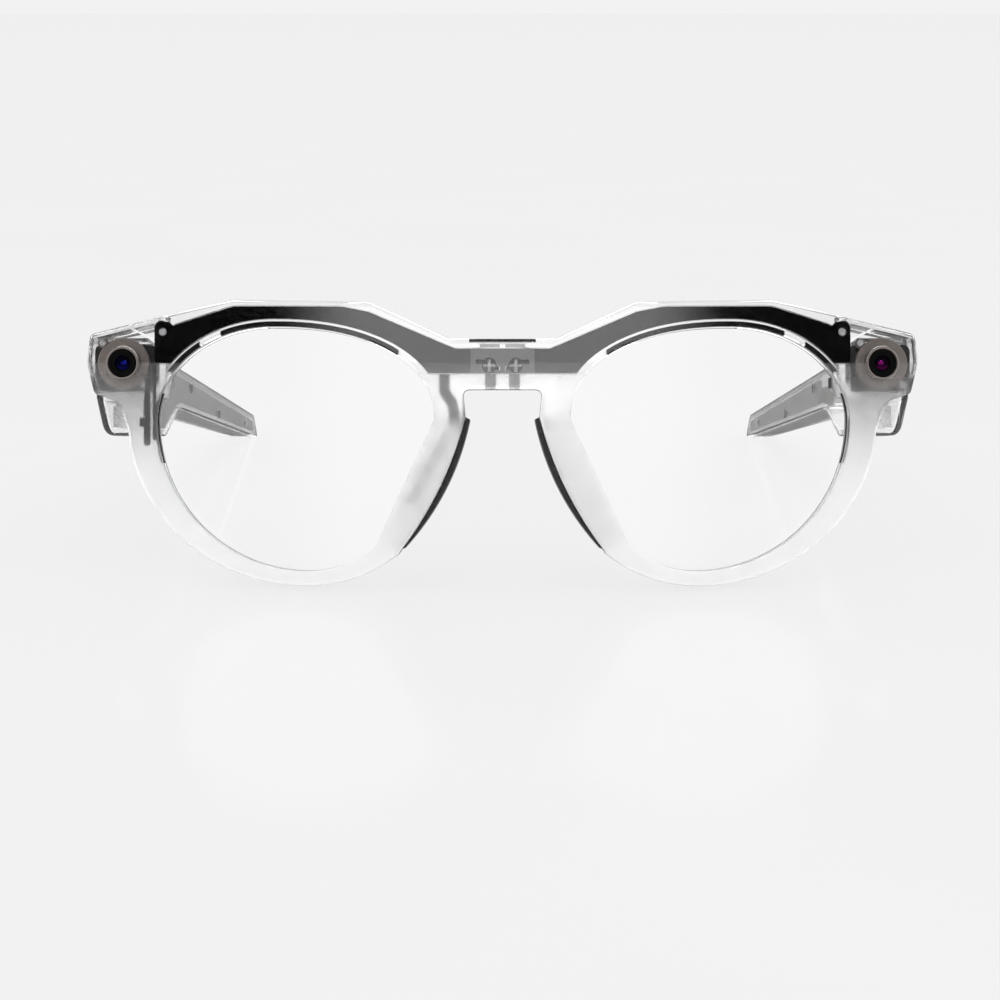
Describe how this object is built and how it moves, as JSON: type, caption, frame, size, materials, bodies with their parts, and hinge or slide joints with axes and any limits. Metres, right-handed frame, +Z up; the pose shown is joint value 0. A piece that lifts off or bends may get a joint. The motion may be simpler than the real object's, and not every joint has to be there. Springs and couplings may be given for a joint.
{
  "type": "smart glasses",
  "caption": "Clear smart glasses with a wrapped front, front cameras at the end pieces, a brow insert, nose pads, and folding arms with electronics inside.",
  "frame": {"origin": "on the surface that the glasses stand on, below the centre of their bounding box", "axes": "+Z up from that surface, +Y towards the back along the arms, +X towards the wearer's left"},
  "size_m": [0.1536, 0.1468, 0.0516],
  "materials": {
    "clear_plastic": "clear, polished above and frosted below",
    "frosted_plastic": "frosted translucent",
    "brow_black": "black, fading to grey at the bridge",
    "lens_plastic": "clear, coated",
    "seal_rubber": "matte",
    "pad_rubber": "soft matte",
    "grey_plastic": "matte",
    "dark_plastic": "matte",
    "light_plastic": "matte",
    "contact_gold": "gold plated",
    "flex_film": "satin film",
    "camera_metal": "fine turned, taupe",
    "camera_black": "matte black",
    "camera_glass": "coated",
    "circuit_board": "solder mask",
    "steel": "satin",
    "mesh_steel": "black coated",
    "chassis_grey": "bead blasted",
    "cell_foil": "foil pouch"
  },
  "bodies": {
    "front": {"front_shell": "clear_plastic", "front_rear_cover": "clear_plastic", "brow_insert": "brow_black", "brow_screws": "steel", "lens_left": "lens_plastic", "lens_right": "lens_plastic", "lens_seal_left": "seal_rubber", "lens_seal_right": "seal_rubber", "nose_pad_left": "pad_rubber", "nose_pad_right": "pad_rubber", "bridge_contact_plate": "grey_plastic", "contact_holders": "dark_plastic", "charging_contacts": "contact_gold", "contact_tabs": "grey_plastic", "bridge_mic_strip": "dark_plastic", "bridge_microphones": "steel", "nose_flex_tail": "flex_film", "nose_sensor": "grey_plastic", "side_antenna": "flex_film", "camera_ring_left": "camera_metal", "camera_ring_right": "camera_metal", "camera_barrel_left": "camera_black", "camera_barrel_right": "camera_black", "camera_glass_left": "camera_glass", "camera_glass_right": "camera_glass", "camera_bracket_left": "dark_plastic", "camera_bracket_right": "dark_plastic", "camera_board_left": "circuit_board", "camera_board_right": "circuit_board", "camera_screws": "steel", "hinge_front_left": "steel", "hinge_front_right": "steel", "hinge_pin_left": "steel", "hinge_pin_right": "steel", "hinge_screws": "steel"},
    "temple_left": {"arm_shell_left": "clear_plastic", "arm_cover_left": "clear_plastic", "arm_core_left": "chassis_grey", "hinge_leaf_left": "steel", "battery_left": "cell_foil", "main_board_left": "circuit_board", "speaker_left": "dark_plastic", "speaker_mesh_left": "mesh_steel", "arm_screws_left": "steel", "radio_module_left": "light_plastic", "power_switch": "steel"},
    "temple_right": {"arm_shell_right": "clear_plastic", "arm_cover_right": "clear_plastic", "arm_core_right": "chassis_grey", "hinge_leaf_right": "steel", "battery_right": "cell_foil", "main_board_right": "circuit_board", "speaker_right": "dark_plastic", "speaker_mesh_right": "mesh_steel", "arm_screws_right": "steel", "touch_pad_right": "flex_film", "capture_switch": "steel"},
    "capture_button": {"capture_button": "frosted_plastic"},
    "power_slider": {"power_slider": "dark_plastic"}
  },
  "joints": [
    {"name": "fold_left", "type": "hinge", "parent": "front", "child": "temple_left", "pos_m": [0.0672, -0.04638, 0.03698], "axis": [0, 0.2217, 0.9751], "range_deg": [0, 90]},
    {"name": "fold_right", "type": "hinge", "parent": "front", "child": "temple_right", "pos_m": [-0.0672, -0.04638, 0.03698], "axis": [0, -0.2217, -0.9751], "range_deg": [0, 80]},
    {"name": "capture_press", "type": "slide", "parent": "temple_right", "child": "capture_button", "axis": [0, -0.2217, -0.9751], "range_m": [0, 0.0004], "stiffness_N_per_m": 1500, "springref_m": -0.0002},
    {"name": "power_slide", "type": "slide", "parent": "temple_left", "child": "power_slider", "axis": [-0.0488, 0.974, -0.2214], "range_m": [0, 0.002]}
  ]
}
